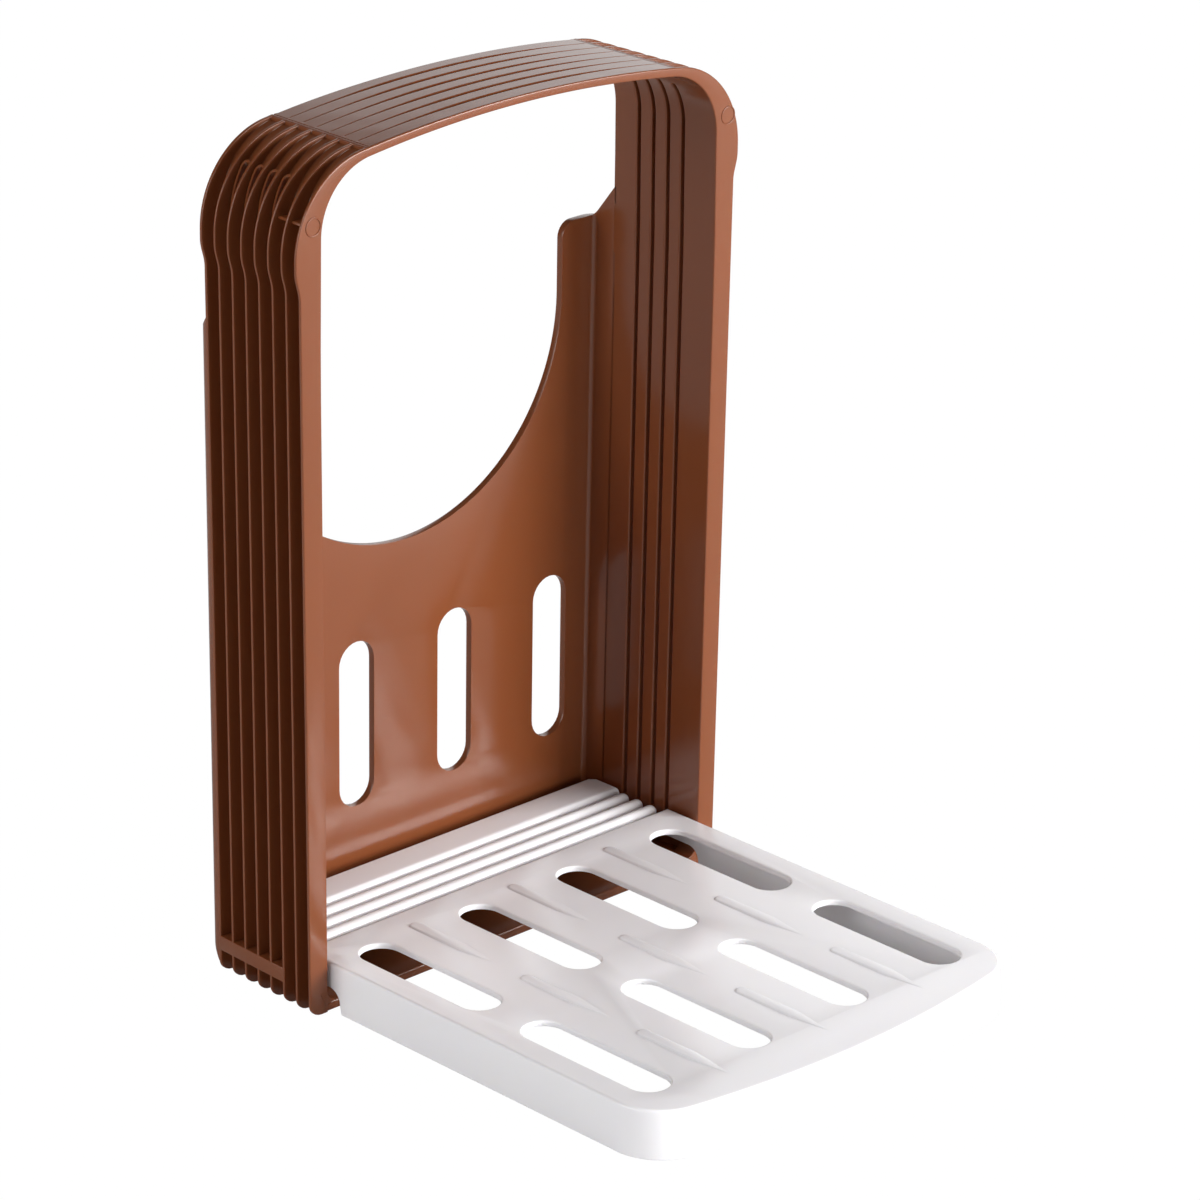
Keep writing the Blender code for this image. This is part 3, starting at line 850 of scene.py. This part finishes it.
base = mesh_object("base_plate", [base_shell()])
notch_centre = (notch_radius + notch_lean - notch_setback, skirt_lift - notch_radius)
notch = [(-notch_setback, -clear), (-notch_setback, 0)]
notch += arc(notch_centre, notch_radius, math.pi, math.pi / 2, 12)
notch += [(strip_rear + clear, skirt_lift), (strip_rear + clear, -clear)]
carve(base, mesh_object("notch", [along_x(notch, -base_half_width - clear, base_half_width + clear)]))
hollow = along_z(mirrored(base_half(skirt_thickness, plate_lip)), -clear, base_height - plate_thickness)
carve(base, mesh_object("hollow", [hollow]))
hollow_half_width = strip_half_width - skirt_thickness
rear_hollow = [
    (plate_lip - clear, -clear),
    (plate_lip - clear, groove_floor - groove_web_thickness),
    (strip_lip, groove_floor - groove_web_thickness),
    (strip_lip, base_height - plate_thickness),
    (strip_rear - skirt_thickness, base_height - plate_thickness),
    (strip_rear - skirt_thickness, -clear),
]
carve(base, mesh_object("rear hollow", [along_x(rear_hollow, -hollow_half_width, hollow_half_width)]))
channel = [(plate_lip, base_height + clear)]
channel += arc((plate_lip, crest_axis_height), crest_radius, math.pi / 2, 0, 10)
channel += [(plate_lip + crest_radius, groove_floor), (strip_lip - crest_radius, groove_floor)]
channel += arc((strip_lip, crest_axis_height), crest_radius, math.pi, math.pi / 2, 10)
channel += [(strip_lip, base_height + clear)]
carve(base, mesh_object("channel", [along_x(channel, -base_half_width - clear, base_half_width + clear)]))
slot_profile = [(0, base_height / 2)]
for sine, cosine in quarter(5):
    slot_profile.append((slot_rim * (1 - cosine), base_height - slot_rim * (1 - sine)))
slot_profile.append((slot_rim, base_height + clear))
base_slots = []
for row in range(slot_rows):
    rear = slot_rear - row * (slot_length + slot_row_gap)
    for x in column_places:
        stack = []
        for flare, height in slot_profile:
            outline = stadium(x, rear - slot_length - flare, rear + flare, slot_radius + flare, 18)
            stack.append([(across, front_face + place, height) for across, place in outline])
        base_slots.append(stack)
carve(base, mesh_object("base slots", base_slots))
shade(base)

# An off-white with hardly any hue. Light spreads inside it, so its shades stay soft and pale.
white = moulded_polypropylene(
    "white polypropylene", "#F0EFF1", "#EEECEF", (0.2, 0.25), (1.6, 1.3, 0.9), 0.1
)


def white_piece(item):
    """Finishes a piece of the base."""
    item.data.materials.clear()
    item.data.materials.append(white)
    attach(item, "base")
    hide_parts("bread_base")


white_piece(base)

# Crests, grip ribs and hinge lugs on the base, all part of the same white moulding.
# The knife comes to rest in the grooves between the crests, and the low ribs keep the loaf from sliding.

crest_inset = 0.7 * mm
crest_half_length = base_half_width - crest_inset
grip_width = 3.8 * mm
grip_height = 0.5 * mm
grip_length = 30.6 * mm
grip_taper = 12 * mm
grip_rear = 3.2 * mm
grip_pitch = 39.2 * mm
grip_slope = 0.7 * mm
grip_fall = 0.9
grip_profile = ((-0.5, 0), (0, 0), (0.8, 0.55), (1, 1))
grip_rows = 3
lug_radius = 3.4 * mm
pin_clearance = 0.3 * mm
bore_radius = pin_radius + pin_clearance


def crest_rings(depth):
    """A rounded bar across the base, with domed ends."""
    profile = [(1, groove_floor - groove_web_thickness / 2)]
    profile += [(cosine, crest_axis_height + crest_radius * sine) for sine, cosine in quarter(10)]
    stack = []
    for share, height in profile:
        inset = crest_radius * (1 - share)
        outline = stadium(depth, inset - crest_half_length, crest_half_length - inset, crest_radius * share)
        stack.append([(x, front_face + y, height) for y, x in outline])
    return stack


def grip_rib_rings(x, rear):
    """A low rib with a round rear end; it rises to the front, then narrows and ramps down to a point.

    The profile pairs a share of the rib's height with a share of what its flanks have drawn in by then.
    """
    radius = grip_width / 2
    front = rear - grip_length
    outline = [(0, front), (radius, front + grip_taper)]
    outline += arc((0, rear - radius), radius, 0, math.pi, 16)
    outline += [(-radius, front + grip_taper)]
    rings = []
    for rise, draw_in in grip_profile:
        ring = []
        for across, place in outline:
            climb = (place - front) / grip_taper
            ramp = min(climb, 1 - grip_fall * (place - front - grip_taper) / grip_length)
            share = 1 - grip_slope * draw_in / radius
            if place > rear - radius:
                place = rear - radius + (place - rear + radius) * share
            height = base_height + grip_height * (rise * ramp if rise > 0 else rise)
            ring.append((x + across * share, front_face + place, height))
        rings.append(ring)
    return rings


crests = mesh_object("crests", [crest_rings((a + b) / 2) for a, b in zip(knife_depths, knife_depths[1:])])
shade(crests)
white_piece(crests)

grips = []
for row in range(grip_rows):
    for left, right in zip(column_places, column_places[1:]):
        grips.append(grip_rib_rings((left + right) / 2, grip_rear - row * grip_pitch))
grip_ribs = mesh_object("grip_ribs", grips)
shade(grip_ribs)
white_piece(grip_ribs)

lug_outline = arc((hinge_depth, hinge_height), lug_radius, 0, 2 * math.pi, 40)[:-1]
bore_outline = arc((hinge_depth, hinge_height), bore_radius, 0, 2 * math.pi, 40)[:-1]
lugs = []
bores = []
for side in (-1, 1):
    lugs.append(along_x(lug_outline, side * hollow_half_width, side * strip_half_width))
    bores.append(along_x(bore_outline, side * (hollow_half_width - clear), side * (strip_half_width + clear)))
hinge_lugs = mesh_object("hinge_lugs", lugs)
carve(hinge_lugs, mesh_object("bores", bores))
carve(base, mesh_object("bores in the skirt", bores))
shade(base)
shade(hinge_lugs)
white_piece(hinge_lugs)

# The studio.
# The object stands on a table of matt paper among large soft boxes, and the paper throws their light back up.
# The camera, which stands where the photographer stood, sees one even white sweep in the paper's place.

scene = bpy.context.scene
scene.view_settings.view_transform = "Standard"

sheet_half_size = 4
sheet_bottom = -0.03
table_height = -0.0004
sweep_height = -0.0002
world_glow = 0.06
lamp_target = Vector((0, 0, 0.1))


def sheet(name, top, colour, glow):
    """One level sheet of matt paper with a glow of its own."""
    corners = [(x * sheet_half_size, y * sheet_half_size) for x, y in ((-1, -1), (1, -1), (1, 1), (-1, 1))]
    item = mesh_object(name, [[[(x, y, height) for x, y in corners] for height in (sheet_bottom, top)]])
    paper = bpy.data.materials.new(name + " paper")
    paper.use_nodes = True
    face = paper.node_tree.nodes["Principled BSDF"]
    face.inputs["Base Color"].default_value = linear(colour)
    face.inputs["Roughness"].default_value = 0.9
    face.inputs["Specular IOR Level"].default_value = 0
    face.inputs["Emission Color"].default_value = linear("#FFFFFF")
    face.inputs["Emission Strength"].default_value = glow
    item.data.materials.append(paper)
    return item


sheet("table_top", table_height, "#C4C4C4", 0.12)
sweep = sheet("white_sweep", sweep_height, "#0A0A0A", 1)
sweep.visible_diffuse = False
sweep.visible_glossy = False
sweep.visible_transmission = False
sweep.visible_shadow = False

world = bpy.data.worlds.new("studio")
scene.world = world
world.use_nodes = True
world.node_tree.nodes["Background"].inputs["Color"].default_value = linear("#FFFFFF")
world.node_tree.nodes["Background"].inputs["Strength"].default_value = world_glow


def soft_box(name, azimuth, elevation, distance, width, height, power):
    """A white soft box that faces the object; azimuth 0 stands in front of it and 90 to its right.

    Angles are in degrees, lengths in metres and the power in watts.
    """
    lamp = bpy.data.lights.new(name, "AREA")
    lamp.shape = "RECTANGLE"
    lamp.size = width
    lamp.size_y = height
    lamp.energy = power
    item = bpy.data.objects.new(name, lamp)
    turn, rise = math.radians(azimuth), math.radians(elevation)
    away = Vector((math.sin(turn) * math.cos(rise), -math.cos(turn) * math.cos(rise), math.sin(rise)))
    item.location = lamp_target + away * distance
    item.rotation_euler = away.to_track_quat("Z", "Y").to_euler()
    scene.collection.objects.link(item)


# The front right box is the key and sets the tone of the faces. The others fill the sides, rear and top.
soft_box("front right", 31, 15, 1.5, 0.9, 0.8, 35)
soft_box("front", 0, 10, 1.5, 0.9, 0.7, 9)
soft_box("left", -104, 17, 1.5, 1.2, 1.0, 14)
soft_box("rear", 138, 14, 1.5, 1.5, 0.8, 4.5)
soft_box("top", 0, 85, 1.5, 0.9, 0.9, 2)

camera_azimuth = math.radians(-44.5413)
camera_elevation = math.radians(21.8856)
camera_roll = math.radians(0.9217)
camera_place = Vector((-808.2 * mm, -848.18 * mm + front_face, 560.38 * mm))
camera_lens = 157.09
back = Vector((
    math.sin(camera_azimuth) * math.cos(camera_elevation),
    -math.cos(camera_azimuth) * math.cos(camera_elevation),
    math.sin(camera_elevation),
))
level = Vector((math.cos(camera_azimuth), math.sin(camera_azimuth), 0))
upright = back.cross(level)
right = level * math.cos(camera_roll) + upright * math.sin(camera_roll)
up = upright * math.cos(camera_roll) - level * math.sin(camera_roll)
view = bpy.data.cameras.new("camera")
view.lens = camera_lens
view.sensor_width = 36
view.clip_start = 0.05
view.clip_end = 20
camera = bpy.data.objects.new("camera", view)
camera.matrix_world = Matrix.Translation(camera_place) @ Matrix((right, up, back)).transposed().to_4x4()
scene.collection.objects.link(camera)
scene.camera = camera
